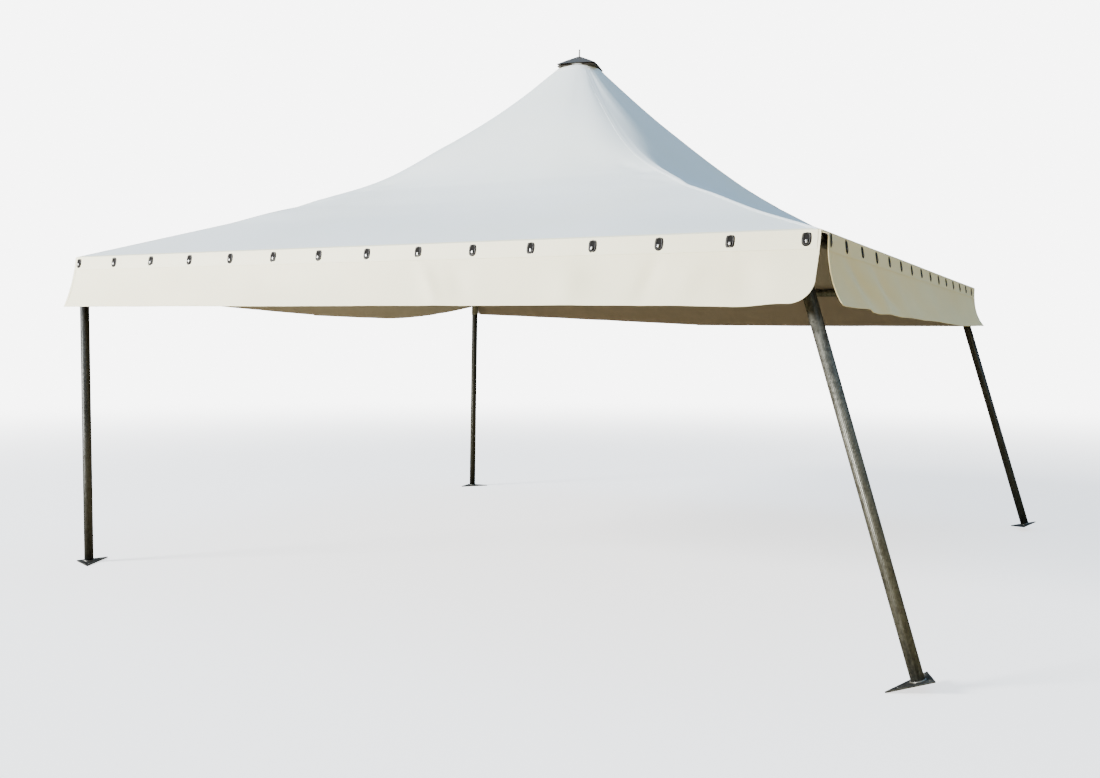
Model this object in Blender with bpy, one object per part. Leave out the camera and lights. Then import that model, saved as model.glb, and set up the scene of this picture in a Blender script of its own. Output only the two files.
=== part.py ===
"""Square pagoda tent, 5 m by 5 m, with a peaked fabric roof on a steel tube frame.

The tent stands on four legs: the two on the left are upright, and the two on the right are raked
outward. The four legs are about as long as each other, so the raked side stands a little lower
and the whole roof leans down toward it. A tube frame runs round the eaves, four hip rafters meet
at a hub over the middle, and a king post on the hub holds up the peak. Four fabric gores make
the roof and four valances hang from its edge, each with a row of oval eyelets.

All lengths are in metres. The tent is drawn square to its own roof, front toward -Y, over ground
that rises to the right. At the end it is turned until the ground is level, and moved so that the
middle of its footprint lies at the origin.
"""
import math

import bmesh
import bpy
from mathutils import Matrix, Vector

NAME = "gazebo_tent"

# Roof fabric
HALF = 2.5                  # from the tent's middle to the edge of the roof
EAVE_Z = 2.090              # top of the fabric along the eaves
SLOPE = 0.380               # rise of the hip line for each metre in from the eaves
PEAK_START = 1.43           # half side of the square where the roof turns up to its peak
PEAK_RISE, PEAK_POWER = 0.660, 1.48
CROWN = 0.075               # half side of the small square at the top of the gores
ROUND_UNTIL = 0.85          # the plan turns from a circle at the crown to a square here
SAG = 0.07                  # deepest sag in the middle of a gore
FABRIC = 0.003
GORE_ROWS, GORE_COLUMNS = 20, 12
HIP_GAP = 0.00025           # each gore stops this far short of the hip line

# Valances
VALANCE_DROP, VALANCE_FLARE = 0.334, 0.10
BAND_HEIGHT, BAND_THICK = 0.09, 0.0015
BAND_END = 0.03             # the band stops this far from the ends of its valance
EYELET_COUNT = 15
EYELET_PITCH = {"front": 0.3497, "right": 0.3322, "rear": 0.3497, "left": 0.3497}
EYELET_SHIFT = {"front": -0.0084, "right": -0.070, "rear": 0.0, "left": 0.0}  # along the side
EYELET_HALF_WIDTH, EYELET_HALF_HEIGHT, EYELET_RAISE = 0.019, 0.030, 0.0025
BUTTON_HALF_WIDTH, BUTTON_HALF_HEIGHT, BUTTON_RAISE = 0.005, 0.014, 0.006

# Frame
TOUCH = 0.0003              # gap left between pieces that touch
FIT = 0.0004                # gap between a tube and the sleeve around it
NODE_T, NODE_Z = 2.465, 2.058   # where the frame's axes meet at a corner
NODE_RADIUS = 0.038
TUBE_R, SLEEVE_R = 0.03015, 0.034
RAFTER_R, RAFTER_SLEEVE_R = 0.025, 0.0285
RAFTER_LIFT = 0.0113        # the hip rafters lie this far over the corner points
MAST_R, HUB_R = 0.02415, 0.06
HUB_SLEEVE_START = 0.045    # the hub's sleeves start this far from its middle, inside it
SLEEVE_REACH = 0.20         # length of a sleeve, from the corner point
BORE_START = 0.05           # distance from the corner point to a tube's end
RAFTER_BORE_START, RAFTER_REACH = 0.095, 0.25
HUB_BELOW, HUB_ABOVE = 0.075, 0.075
HEAD_THICK, HEAD_RADIUS = 0.05, 0.125
CAP_HALF, CAP_HEIGHT, CAP_RIM = 0.144, 0.083, 0.006
CAP_TURN = 13.2
SPIKE_R, SPIKE_LENGTH = 0.006, 0.044

# Legs and foot plates
RAKE_TOP_X = 2.367          # where a raked leg's axis meets the axis of the eave beam
RAKE = 0.325                # a raked leg moves out by this for each metre down
RAKE_BORE_START = 0.047
GROUND_RISE = 0.0176        # how much the ground rises to the right, for each metre
PLATE_SIDE, PLATE_THICK = 0.215, 0.008
PLATE_TURN = {"front_left": -19.4, "front_right": 18.8, "rear_right": -20.0, "rear_left": 10.0}
STAKE_HOLE_R = 0.007
STAKE_HOLE_SQUARE, STAKE_HOLE_ACUTE = 0.056, 0.105  # hole places, out from the leg's axis

SEGMENTS = 28

MATERIALS = {
    "roof_fabric": ((0.80, 0.82, 0.82, 1.0), 0.0, 0.55),
    "valance_fabric": ((0.78, 0.76, 0.67, 1.0), 0.0, 0.65),
    "eyelet_band": ((0.74, 0.73, 0.66, 1.0), 0.0, 0.5),
    "galvanised_steel": ((0.22, 0.22, 0.20, 1.0), 0.9, 0.42),
    "foot_plate_steel": ((0.12, 0.12, 0.11, 1.0), 0.8, 0.5),
    "cap_metal": ((0.10, 0.10, 0.11, 1.0), 0.8, 0.45),
    "spike_metal": ((0.55, 0.55, 0.55, 1.0), 0.9, 0.3),
}

SIDES = {"front": 0, "right": 1, "rear": 2, "left": 3}  # quarter turns from the front
CORNERS = {
    "front_left": (-1, -1),
    "front_right": (1, -1),
    "rear_right": (1, 1),
    "rear_left": (-1, 1),
}


def clear_scene():
    for item in list(bpy.data.objects):
        bpy.data.objects.remove(item, do_unlink=True)


def make_collection(name):
    collection = bpy.data.collections.new(name)
    bpy.context.scene.collection.children.link(collection)
    return collection


def make_materials():
    made = {}
    for name, (colour, metallic, roughness) in MATERIALS.items():
        material = bpy.data.materials.new(name)
        material.use_nodes = True
        shader = material.node_tree.nodes["Principled BSDF"]
        shader.inputs["Base Color"].default_value = colour
        shader.inputs["Metallic"].default_value = metallic
        shader.inputs["Roughness"].default_value = roughness
        material.diffuse_color = colour
        made[name] = material
    return made


def add_object(name, mesh_data, collection, material=None):
    """Make an object from a bmesh, with outward faces."""
    bmesh.ops.recalc_face_normals(mesh_data, faces=mesh_data.faces)
    mesh = bpy.data.meshes.new(name)
    mesh_data.to_mesh(mesh)
    mesh_data.free()
    if material is not None:
        mesh.materials.append(material)
    item = bpy.data.objects.new(name, mesh)
    collection.objects.link(item)
    return item


def rod(start, end, radius, segments=SEGMENTS):
    """A closed cylinder from one point to another."""
    start, end = Vector(start), Vector(end)
    axis = end - start
    turn = axis.to_track_quat("Z", "Y").to_matrix().to_4x4()
    place = Matrix.Translation((start + end) / 2) @ turn
    shape = bmesh.new()
    bmesh.ops.create_cone(shape, cap_ends=True, segments=segments, radius1=radius,
                          radius2=radius, depth=axis.length, matrix=place)
    return shape


def prism(outline, origin, across, along, normal, thickness):
    """A flat outline, drawn from an origin on two axes, made thick along the normal."""
    shape = bmesh.new()
    rings = []
    for offset in (0.0, thickness):
        base = origin + normal * offset
        rings.append([shape.verts.new(base + across * a + along * b) for a, b in outline])
    shape.faces.new(rings[0])
    shape.faces.new(reversed(rings[1]))
    count = len(outline)
    for i in range(count):
        j = (i + 1) % count
        shape.faces.new((rings[0][i], rings[1][i], rings[1][j], rings[0][j]))
    return shape


def oval(half_a, half_b, centre_a, centre_b, count=14):
    step = 2 * math.pi / count
    return [(centre_a + half_a * math.cos(i * step), centre_b + half_b * math.sin(i * step))
            for i in range(count)]


def boolean(item, other, operation):
    modifier = item.modifiers.new(f"{operation.lower()} {other.name}", "BOOLEAN")
    modifier.operation = operation
    modifier.solver = "EXACT"
    modifier.object = other


class Tools:
    """Keeps the hidden shapes that are joined to or cut from the pieces."""

    def __init__(self):
        self.collection = make_collection(f"{NAME}_cutters")
        self.collection.hide_render = True

    def apply(self, item, name, shape, operation):
        tool = add_object(f"{item.name}_{name}", shape, self.collection)
        tool.display_type = "WIRE"
        tool.hide_render = True
        boolean(item, tool, operation)


def hip_height(t):
    """Height of the fabric along a hip, where t is the half side of the square in plan."""
    peak = max(0.0, 1 - t / PEAK_START) ** PEAK_POWER
    return EAVE_Z + SLOPE * (HALF - t) + PEAK_RISE * peak


def smooth(x):
    x = min(1.0, max(0.0, x))
    return x * x * (3 - 2 * x)


def gore_point(t, v):
    """Point on the top of the front gore; v runs from -1 on one hip to 1 on the other."""
    roundness = 1 - smooth((t - CROWN) / (ROUND_UNTIL - CROWN))
    bulge = 1 + roundness * (math.sqrt(2 / (1 + v * v)) - 1)
    a = (t - CROWN) / (HALF - CROWN)
    sag = SAG * 16 * a * a * (1 - a) * (1 - a) * (1 - v * v)
    return Vector((v * t * bulge, -t * bulge, hip_height(t) - sag))


def make_gore():
    """The front gore, as a thin closed shell."""
    shape = bmesh.new()
    layers = []
    for drop in (0.0, FABRIC):
        grid = []
        for row in range(GORE_ROWS + 1):
            t = CROWN + (HALF - CROWN) * (row / GORE_ROWS) ** 1.5
            line = []
            for column in range(GORE_COLUMNS + 1):
                v = 2 * column / GORE_COLUMNS - 1
                point = gore_point(t, v)
                if column == 0:
                    point.x += HIP_GAP
                if column == GORE_COLUMNS:
                    point.x -= HIP_GAP
                point.z -= drop
                line.append(shape.verts.new(point))
            grid.append(line)
        layers.append(grid)
    top, under = layers
    for row in range(GORE_ROWS):
        for column in range(GORE_COLUMNS):
            for grid in layers:
                shape.faces.new((grid[row][column], grid[row][column + 1],
                                 grid[row + 1][column + 1], grid[row + 1][column]))
    for row in range(GORE_ROWS):
        for column in (0, GORE_COLUMNS):
            shape.faces.new((top[row][column], top[row + 1][column],
                             under[row + 1][column], under[row][column]))
    for column in range(GORE_COLUMNS):
        for row in (0, GORE_ROWS):
            shape.faces.new((top[row][column], top[row][column + 1],
                             under[row][column + 1], under[row][column]))
    return shape


def turned(shape, quarter_turns):
    turn = Matrix.Rotation(quarter_turns * math.pi / 2, 4, "Z")
    bmesh.ops.transform(shape, matrix=turn, verts=shape.verts)
    return shape


# The lower edge of each valance: how much shorter its cloth is, then for each end, the left one
# as seen from outside first, the corner's radius, how far the edge rises there, over what length
# and how sharply
HEMS = {
    "front": (0.0, (0.0, 0.0, 1.0, 1.0), (0.11, -0.015, 0.9, 1.6)),
    "right": (0.009, (0.02, 0.0, 1.0, 1.0), (0.0, 0.024, 1.5, 1.5)),
    "rear": (0.009, (0.03, 0.010, 1.5, 1.0), (0.07, 0.105, 2.6, 1.0)),
    "left": (0.020, (0.03, 0.173, 1.5, 1.68), (0.04, 0.110, 3.0, 1.6)),
}
HEM_STEPS = 14
CORNER_STEPS = 6


def hem_end(radius, rise, length, power, full):
    """Points of one end of a hem, from the top edge round to where the hem is level."""
    low = full - rise
    points = [(HALF, 0.0)]
    if radius == 0:
        points.append((HALF, low))
    else:
        for i in range(CORNER_STEPS + 1):
            angle = i / CORNER_STEPS * math.pi / 2
            points.append((HALF - radius * (1 - math.cos(angle)),
                           low - radius * (1 - math.sin(angle))))
    if rise != 0:
        start = points[-1][0]
        for i in range(1, HEM_STEPS + 1):
            part = i / HEM_STEPS
            points.append((start - (length - radius) * part, full - rise * (1 - part) ** power))
    return points


def valance_outline(side):
    shorter, left_end, right_end = HEMS[side]
    full = math.hypot(VALANCE_DROP, VALANCE_FLARE) - shorter
    right = hem_end(*right_end, full)
    left = [(-a, b) for a, b in hem_end(*left_end, full)]
    return right + left[::-1]


def valance_frame():
    """Origin and axes of the front valance's inner face: across, down the cloth, outward."""
    length = math.hypot(VALANCE_DROP, VALANCE_FLARE)
    down = Vector((0, -VALANCE_FLARE, -VALANCE_DROP)) / length
    out = Vector((0, -VALANCE_DROP, VALANCE_FLARE)) / length
    origin = Vector((0, -HALF - TOUCH, EAVE_Z + 0.001))
    return origin, Vector((1, 0, 0)), down, out


def add_valance(side, turns, parts, tools, materials):
    origin, across, down, out = valance_frame()
    cloth = prism(valance_outline(side), origin, across, down, out, FABRIC)
    add_object(f"{side}_valance", turned(cloth, turns), parts, materials["valance_fabric"])

    base = origin + out * (FABRIC + TOUCH)
    reach = HALF - BAND_END
    strip = [(-reach, 0.0), (reach, 0.0), (reach, BAND_HEIGHT), (-reach, BAND_HEIGHT)]
    band = add_object(f"{side}_eyelet_band",
                      turned(prism(strip, base, across, down, out, BAND_THICK), turns),
                      parts, materials["eyelet_band"])
    sunk = base + out * (BAND_THICK / 2)
    for number in range(EYELET_COUNT):
        place = EYELET_SHIFT[side] + (number - (EYELET_COUNT - 1) / 2) * EYELET_PITCH[side]
        ring = oval(EYELET_HALF_WIDTH, EYELET_HALF_HEIGHT, place, BAND_HEIGHT / 2)
        shape = prism(ring, sunk, across, down, out, BAND_THICK / 2 + EYELET_RAISE)
        tools.apply(band, f"eyelet_{number + 1}", turned(shape, turns), "UNION")
        bar = oval(BUTTON_HALF_WIDTH, BUTTON_HALF_HEIGHT, place, BAND_HEIGHT / 2, 8)
        shape = prism(bar, sunk, across, down, out, BAND_THICK / 2 + BUTTON_RAISE)
        tools.apply(band, f"button_{number + 1}", turned(shape, turns), "UNION")


def rafter_axis(sx, sy):
    """Start of a hip rafter's axis over the corner, and its direction up toward the middle."""
    start = Vector((sx * NODE_T, sy * NODE_T, NODE_Z + RAFTER_LIFT))
    return start, Vector((-sx, -sy, SLOPE)).normalized()


def hub_centre():
    return Vector((0, 0, NODE_Z + RAFTER_LIFT + SLOPE * NODE_T))


def leg_axis(sx, sy):
    """Top of a leg's axis, the direction down it, and how far down it the leg starts."""
    if sx < 0:
        return Vector((sx * NODE_T, sy * NODE_T, NODE_Z)), Vector((0, 0, -1)), BORE_START
    top = Vector((RAKE_TOP_X, sy * NODE_T, NODE_Z))
    return top, Vector((RAKE, 0, -1)).normalized(), RAKE_BORE_START


def ground_normal():
    return Vector((-GROUND_RISE, 0, 1)).normalized()


def plate_corners(sx, sy, turn, top, down):
    """Corner points of a foot plate's under face, about the leg's axis, outer corner first.

    The plate is half a square, at right angles to its leg, with the right angle turned outward.
    It is lowered along the leg until its lowest corner reaches the ground.
    """
    up = -down
    across = Vector((1, 0, 0))
    across = (across - up * across.dot(up)).normalized()
    ahead = up.cross(across).normalized()
    inner = PLATE_SIDE * (1 - 1 / math.sqrt(2))
    way = math.atan2(sy, sx) + math.radians(turn)
    outward = across * math.cos(way) + ahead * math.sin(way)
    sideways = up.cross(outward)
    offsets = [outward * inner * math.sqrt(2),
               sideways * PLATE_SIDE / math.sqrt(2) - outward * inner,
               -sideways * PLATE_SIDE / math.sqrt(2) - outward * inner]
    normal = ground_normal()
    lowest = min(offset.dot(normal) for offset in offsets)
    height = (top - Vector((-NODE_T, 0, 0))).dot(normal)
    length = (height + lowest) / -down.dot(normal)
    centre = top + down * length
    return centre, offsets


def add_leg(corner, sx, sy, parts, tools, materials):
    top, down, start = leg_axis(sx, sy)
    centre, offsets = plate_corners(sx, sy, PLATE_TURN[corner], top, down)
    steel = materials["galvanised_steel"]
    end = centre - down * (PLATE_THICK + TOUCH)
    add_object(f"{corner}_leg", rod(top + down * (start + TOUCH), end, TUBE_R), parts, steel)

    shape = bmesh.new()
    rings = []
    for lift in (0.0, PLATE_THICK):
        rings.append([shape.verts.new(centre + offset - down * lift) for offset in offsets])
    shape.faces.new(rings[0])
    shape.faces.new(reversed(rings[1]))
    for i in range(3):
        j = (i + 1) % 3
        shape.faces.new((rings[0][i], rings[1][i], rings[1][j], rings[0][j]))
    plate = add_object(f"{corner}_foot_plate", shape, parts, materials["foot_plate_steel"])
    for number, offset in enumerate(offsets):
        reach = STAKE_HOLE_SQUARE if number == 0 else STAKE_HOLE_ACUTE
        middle = centre + offset.normalized() * reach
        hole = rod(middle + down * 0.02, middle - down * 0.03, STAKE_HOLE_R, 20)
        tools.apply(plate, f"stake_hole_{number + 1}", hole, "DIFFERENCE")


def add_corner_fitting(corner, sx, sy, parts, tools, materials):
    """A welded fitting: a ball at the corner with sleeves for beams, rafter and leg."""
    node = Vector((sx * NODE_T, sy * NODE_T, NODE_Z))
    shape = bmesh.new()
    bmesh.ops.create_uvsphere(shape, u_segments=24, v_segments=12, radius=NODE_RADIUS,
                              matrix=Matrix.Translation(node))
    fitting = add_object(f"{corner}_corner_fitting", shape, parts,
                         materials["galvanised_steel"])
    rafter_start, rafter_up = rafter_axis(sx, sy)
    leg_top, leg_down, leg_start = leg_axis(sx, sy)
    runs = {
        "side_beam": (node, Vector((0, -sy, 0)), SLEEVE_R, TUBE_R, BORE_START, SLEEVE_REACH),
        "end_beam": (node, Vector((-sx, 0, 0)), SLEEVE_R, TUBE_R, BORE_START,
                     SLEEVE_REACH + (0.05 if sx > 0 else 0)),
        "rafter": (rafter_start, rafter_up, RAFTER_SLEEVE_R, RAFTER_R, RAFTER_BORE_START,
                   RAFTER_REACH),
        "leg": (leg_top, leg_down, SLEEVE_R, TUBE_R, leg_start, SLEEVE_REACH),
    }
    for name, (start, way, outer, tube, bore, reach) in runs.items():
        sleeve = rod(start, start + way * reach, outer)
        tools.apply(fitting, f"{name}_sleeve", sleeve, "UNION")
    for name, (start, way, outer, tube, bore, reach) in runs.items():
        hollow = rod(start + way * bore, start + way * (reach + 0.02), tube + FIT)
        tools.apply(fitting, f"{name}_bore", hollow, "DIFFERENCE")


def add_beams(parts, materials):
    """The four eave beams; each ends inside the sleeves at its two corners."""
    reach = NODE_T - BORE_START - TOUCH
    steel = materials["galvanised_steel"]
    for side, turns in SIDES.items():
        beam = rod((-reach, -NODE_T, NODE_Z), (reach, -NODE_T, NODE_Z), TUBE_R)
        add_object(f"{side}_eave_beam", turned(beam, turns), parts, steel)


def add_roof_frame(parts, tools, materials):
    """Hip rafters, the hub they meet in, the king post, its head plate, the cap and spike."""
    steel = materials["galvanised_steel"]
    centre = hub_centre()
    shape = rod(centre - Vector((0, 0, HUB_BELOW)), centre + Vector((0, 0, HUB_ABOVE)), HUB_R)
    hub = add_object("crown_hub", shape, parts, steel)
    for corner, (sx, sy) in CORNERS.items():
        start, up = rafter_axis(sx, sy)
        length = (centre - start).length
        tube = rod(start + up * (RAFTER_BORE_START + TOUCH),
                   start + up * (length - RAFTER_BORE_START - TOUCH), RAFTER_R)
        add_object(f"{corner}_hip_rafter", tube, parts, steel)
        sleeve = rod(centre - up * RAFTER_REACH, centre - up * HUB_SLEEVE_START, RAFTER_SLEEVE_R)
        tools.apply(hub, f"{corner}_sleeve", sleeve, "UNION")
    for corner, (sx, sy) in CORNERS.items():
        start, up = rafter_axis(sx, sy)
        bore = rod(centre - up * (RAFTER_REACH + 0.02), centre - up * RAFTER_BORE_START,
                   RAFTER_R + FIT)
        tools.apply(hub, f"{corner}_bore", bore, "DIFFERENCE")
    socket = rod(centre, centre + Vector((0, 0, HUB_ABOVE + 0.02)), MAST_R + FIT)
    tools.apply(hub, "mast_bore", socket, "DIFFERENCE")

    crown_z = hip_height(CROWN)
    head_low = crown_z - HEAD_THICK
    mast = rod(centre + Vector((0, 0, TOUCH)), (0, 0, head_low - TOUCH), MAST_R)
    add_object("mast", mast, parts, steel)
    add_object("mast_head", make_head(head_low, crown_z), parts, steel)
    add_object("crown_cap", make_cap(crown_z + TOUCH), parts, materials["cap_metal"])
    tip = crown_z + TOUCH + CAP_RIM + CAP_HEIGHT
    socket_shape = rod((0, 0, tip - 0.03), (0, 0, tip + 0.05), SPIKE_R + FIT, 16)
    tools.apply(bpy.data.objects["crown_cap"], "spike_bore", socket_shape, "DIFFERENCE")
    spike = rod((0, 0, tip - 0.03 + TOUCH), (0, 0, tip + SPIKE_LENGTH), SPIKE_R, 16)
    add_object("finial_spike", spike, parts, materials["spike_metal"])


def make_head(low, crown_z):
    """A turned head plate whose edge lies just under the fabric round the crown."""
    inner = CROWN * math.sqrt(2) - 0.0025
    profile = [(0.0, low), (0.06, low), (HEAD_RADIUS, low + 0.012)]
    for i in range(5):
        radius = HEAD_RADIUS + (inner - HEAD_RADIUS) * i / 4
        under = hip_height(max(radius / math.sqrt(2), CROWN)) - FABRIC - 0.0008
        profile.append((radius, under))
    profile.append((inner, crown_z))
    profile.append((0.0, crown_z))
    count = 32
    shape = bmesh.new()
    rings = []
    for radius, height in profile:
        if radius == 0:
            rings.append([shape.verts.new((0, 0, height))])
            continue
        turn = [2 * math.pi * i / count for i in range(count)]
        rings.append([shape.verts.new((radius * math.cos(a), radius * math.sin(a), height))
                      for a in turn])
    for lower, upper in zip(rings, rings[1:]):
        for i in range(count):
            j = (i + 1) % count
            if len(lower) == 1:
                shape.faces.new((lower[0], upper[i], upper[j]))
            elif len(upper) == 1:
                shape.faces.new((lower[i], lower[j], upper[0]))
            else:
                shape.faces.new((lower[i], lower[j], upper[j], upper[i]))
    return shape


def make_cap(low):
    """The square pyramid over the crown, turned a little on it, with a short upright rim."""
    shape = bmesh.new()
    turn = math.radians(CAP_TURN)
    reach = CAP_HALF * math.sqrt(2)
    square = [(reach * math.cos(turn + math.pi * (2 * i + 5) / 4),
               reach * math.sin(turn + math.pi * (2 * i + 5) / 4)) for i in range(4)]
    base = [shape.verts.new((x, y, low)) for x, y in square]
    rim = [shape.verts.new((x, y, low + CAP_RIM)) for x, y in square]
    small = 0.012 / CAP_HALF
    top = [shape.verts.new((x * small, y * small, low + CAP_RIM + CAP_HEIGHT * (1 - small)))
           for x, y in square]
    shape.faces.new(base)
    shape.faces.new(top)
    for i in range(4):
        j = (i + 1) % 4
        shape.faces.new((base[i], base[j], rim[j], rim[i]))
        shape.faces.new((rim[i], rim[j], top[j], top[i]))
    return shape


def level_and_centre(collections):
    """Turn everything until the ground is level, and move the footprint's middle to the origin."""
    items = [item for collection in collections for item in collection.objects]
    level = Matrix.Rotation(math.atan(GROUND_RISE), 4, "Y")
    for item in items:
        item.data.transform(level)
    visible = [item for item in collections[0].objects]
    points = [vertex.co for item in visible for vertex in item.data.vertices]
    middle_x = (min(p.x for p in points) + max(p.x for p in points)) / 2
    middle_y = (min(p.y for p in points) + max(p.y for p in points)) / 2
    low_z = min(p.z for p in points)
    move = Matrix.Translation((-middle_x, -middle_y, -low_z))
    print("moved by", round(-middle_x, 5), round(-middle_y, 5), round(-low_z, 5))
    for item in items:
        item.data.transform(move)


def main():
    clear_scene()
    materials = make_materials()
    parts = make_collection(NAME)
    tools = Tools()
    for corner, (sx, sy) in CORNERS.items():
        add_leg(corner, sx, sy, parts, tools, materials)
        add_corner_fitting(corner, sx, sy, parts, tools, materials)
    add_beams(parts, materials)
    add_roof_frame(parts, tools, materials)
    for side, turns in SIDES.items():
        add_object(f"{side}_roof_gore", turned(make_gore(), turns), parts,
                   materials["roof_fabric"])
        add_valance(side, turns, parts, tools, materials)
    level_and_centre([parts, tools.collection])


main()
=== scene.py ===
# %% [markdown]
# # A square pagoda tent
# The real object is a white fabric roof, five metres on a side, drawn up to a metal cap over a
# frame of galvanised tube. The steel frame comes packed from the CAD model, and this script
# gives every surface its finish and replaces the plain fabric solids with sewn cloth.
#
# ## The frame
# The imported model is loaded first.

# %% Load the imported frame
import math

import bpy
from mathutils import Matrix, Vector


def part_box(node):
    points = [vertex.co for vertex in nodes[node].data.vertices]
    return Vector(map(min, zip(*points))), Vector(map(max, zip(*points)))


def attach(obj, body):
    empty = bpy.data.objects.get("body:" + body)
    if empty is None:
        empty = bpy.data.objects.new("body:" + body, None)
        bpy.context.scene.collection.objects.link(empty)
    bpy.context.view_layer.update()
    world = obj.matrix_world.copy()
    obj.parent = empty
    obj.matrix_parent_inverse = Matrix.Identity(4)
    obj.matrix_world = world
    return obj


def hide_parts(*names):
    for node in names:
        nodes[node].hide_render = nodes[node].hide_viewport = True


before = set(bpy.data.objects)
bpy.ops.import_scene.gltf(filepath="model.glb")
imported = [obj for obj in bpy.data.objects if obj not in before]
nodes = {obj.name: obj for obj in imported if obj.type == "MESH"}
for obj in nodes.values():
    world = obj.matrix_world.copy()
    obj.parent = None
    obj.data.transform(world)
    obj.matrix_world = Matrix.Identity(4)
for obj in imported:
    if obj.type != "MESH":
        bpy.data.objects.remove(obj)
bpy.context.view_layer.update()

# %% [markdown]
# ## The roof's own axes
# All four legs are about as long as each other, but the two on the right are splayed, so that
# side stands lower and the whole roof leans a little. It is easier to shape the roof as if it
# stood level, with the mast on the Z axis. One matrix then leans every finished point into place.

# %% Set the tent's own dimensions
LEAN = math.atan(0.0176)                   # how far the roof leans down to the right
mast_low, mast_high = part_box("mast")
HALF = 2.5                                 # half a side of the roof
EAVE_Z = 2.090                             # top of the fabric along the eaves
DROP, FLARE = 0.334, 0.10                  # how far a valance hangs, and stands out at its hem
QUARTER = math.pi / 2
SIDES = {"front": 0, "right": 1, "rear": 2, "left": 3}
CORNERS = {"front_left": (-1, -1), "front_right": (1, -1),
           "rear_right": (1, 1), "rear_left": (-1, 1)}
MAST_FOOT = Vector((-0.25319, 0.00344, -0.04338))   # where the mast's line meets the ground
TENT = Matrix.Translation(MAST_FOOT) @ Matrix.Rotation(LEAN, 4, "Y")
mast_middle = TENT.inverted() @ ((mast_low + mast_high) / 2)
print("the mast stands off its own line by", [round(a, 4) for a in mast_middle.xy])


def smooth_step(x):
    x = min(1.0, max(0.0, x))
    return x * x * (3 - 2 * x)


def about_mast(point, quarters=0):
    """Turn a point of the front side about the mast, then lean it into place."""
    turn = Matrix.Rotation(quarters * QUARTER, 4, "Z")
    return TENT @ (turn @ Vector(point))


def leaned(way, quarters=0):
    """The same for a direction."""
    turn = Matrix.Rotation(quarters * QUARTER, 3, "Z")
    return TENT.to_3x3() @ (turn @ Vector(way))


# %% [markdown]
# ## Handling objects
# Operators act on everything that is selected, so each step starts from a clean selection. A
# finished piece keeps its object at the origin with its place in its mesh, rides on the frame's
# one body, and may stand in for a plain CAD node.

# %% Helpers for selecting and finishing pieces
def select_only(item):
    bpy.ops.object.select_all(action="DESELECT")
    item.select_set(True)
    bpy.context.view_layer.objects.active = item


def apply_modifiers(item):
    select_only(item)
    for modifier in list(item.modifiers):
        bpy.ops.object.modifier_apply(modifier=modifier.name)


def apply_place(item):
    select_only(item)
    bpy.ops.object.transform_apply(location=True, rotation=True, scale=True)


def shade(item, degrees=35):
    select_only(item)
    bpy.ops.object.shade_smooth_by_angle(angle=math.radians(degrees))


def in_edit(item, *steps):
    """Run edit operators on the whole mesh of one piece."""
    select_only(item)
    bpy.ops.object.mode_set(mode="EDIT")
    bpy.ops.mesh.select_all(action="SELECT")
    for operator, options in steps:
        operator(**options)
    bpy.ops.object.mode_set(mode="OBJECT")


def set_materials(item, *materials):
    item.data.materials.clear()
    for material in materials:
        item.data.materials.append(material)


def settle(item, slot, *replaced):
    """The piece rides on the frame and may hide CAD nodes. The slot is not used."""
    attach(item, "root")
    if replaced:
        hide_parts(*replaced)
    return item


def join(items, name):
    bpy.ops.object.select_all(action="DESELECT")
    for item in items:
        item.select_set(True)
    bpy.context.view_layer.objects.active = items[0]
    bpy.ops.object.join()
    items[0].name = name
    items[0].data.name = name
    return items[0]


def copy_to(item, name, matrix):
    """A copy with its own mesh, moved by a matrix."""
    twin = item.copy()
    twin.data = item.data.copy()
    twin.name = name
    twin.data.transform(matrix)
    bpy.context.scene.collection.objects.link(twin)
    return twin


def add_shape(name, operator, **options):
    """Add a primitive with nothing else selected."""
    bpy.ops.object.select_all(action="DESELECT")
    operator(**options)
    item = bpy.context.active_object
    item.name = name
    return item


def bevel(item, width, segments, degrees=30):
    """Round the edges that are sharper than an angle."""
    modifier = item.modifiers.new("rounded edges", "BEVEL")
    modifier.width = width
    modifier.segments = segments
    modifier.limit_method = "ANGLE"
    modifier.angle_limit = math.radians(degrees)
    apply_modifiers(item)


# %% [markdown]
# ## Camera
# The photograph is taken standing on the front right, about eye height, with a lens a little
# wider than normal. The roof's corners, the cap, the feet and the rows of eyelets fix where the
# camera stood. The picture was trimmed off centre, so the lens is shifted by as much.

# %% Place the camera
IMAGE_WIDTH, IMAGE_HEIGHT = 1100, 778
FOCAL_PIXELS = 1062.55
SENSOR_WIDTH = 36.0
CAMERA_PLACE = Vector((3.7377, -7.2502, 1.5767))  # in the roof's own axes
CAMERA_YAW, CAMERA_PITCH, CAMERA_ROLL = map(math.radians, (-30.489, -4.983, 1.012))
LENS_MIDDLE = (511.3, 434.1)               # where the lens's axis meets the picture


def camera_axes(yaw, pitch, roll):
    ahead = Vector((math.sin(yaw) * math.cos(pitch), math.cos(yaw) * math.cos(pitch),
                    math.sin(pitch)))
    right = Vector((math.cos(yaw), -math.sin(yaw), 0))
    up = right.cross(ahead)
    rolled_right = right * math.cos(roll) + up * math.sin(roll)
    rolled_up = up * math.cos(roll) - right * math.sin(roll)
    return rolled_right, rolled_up, ahead


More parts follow.
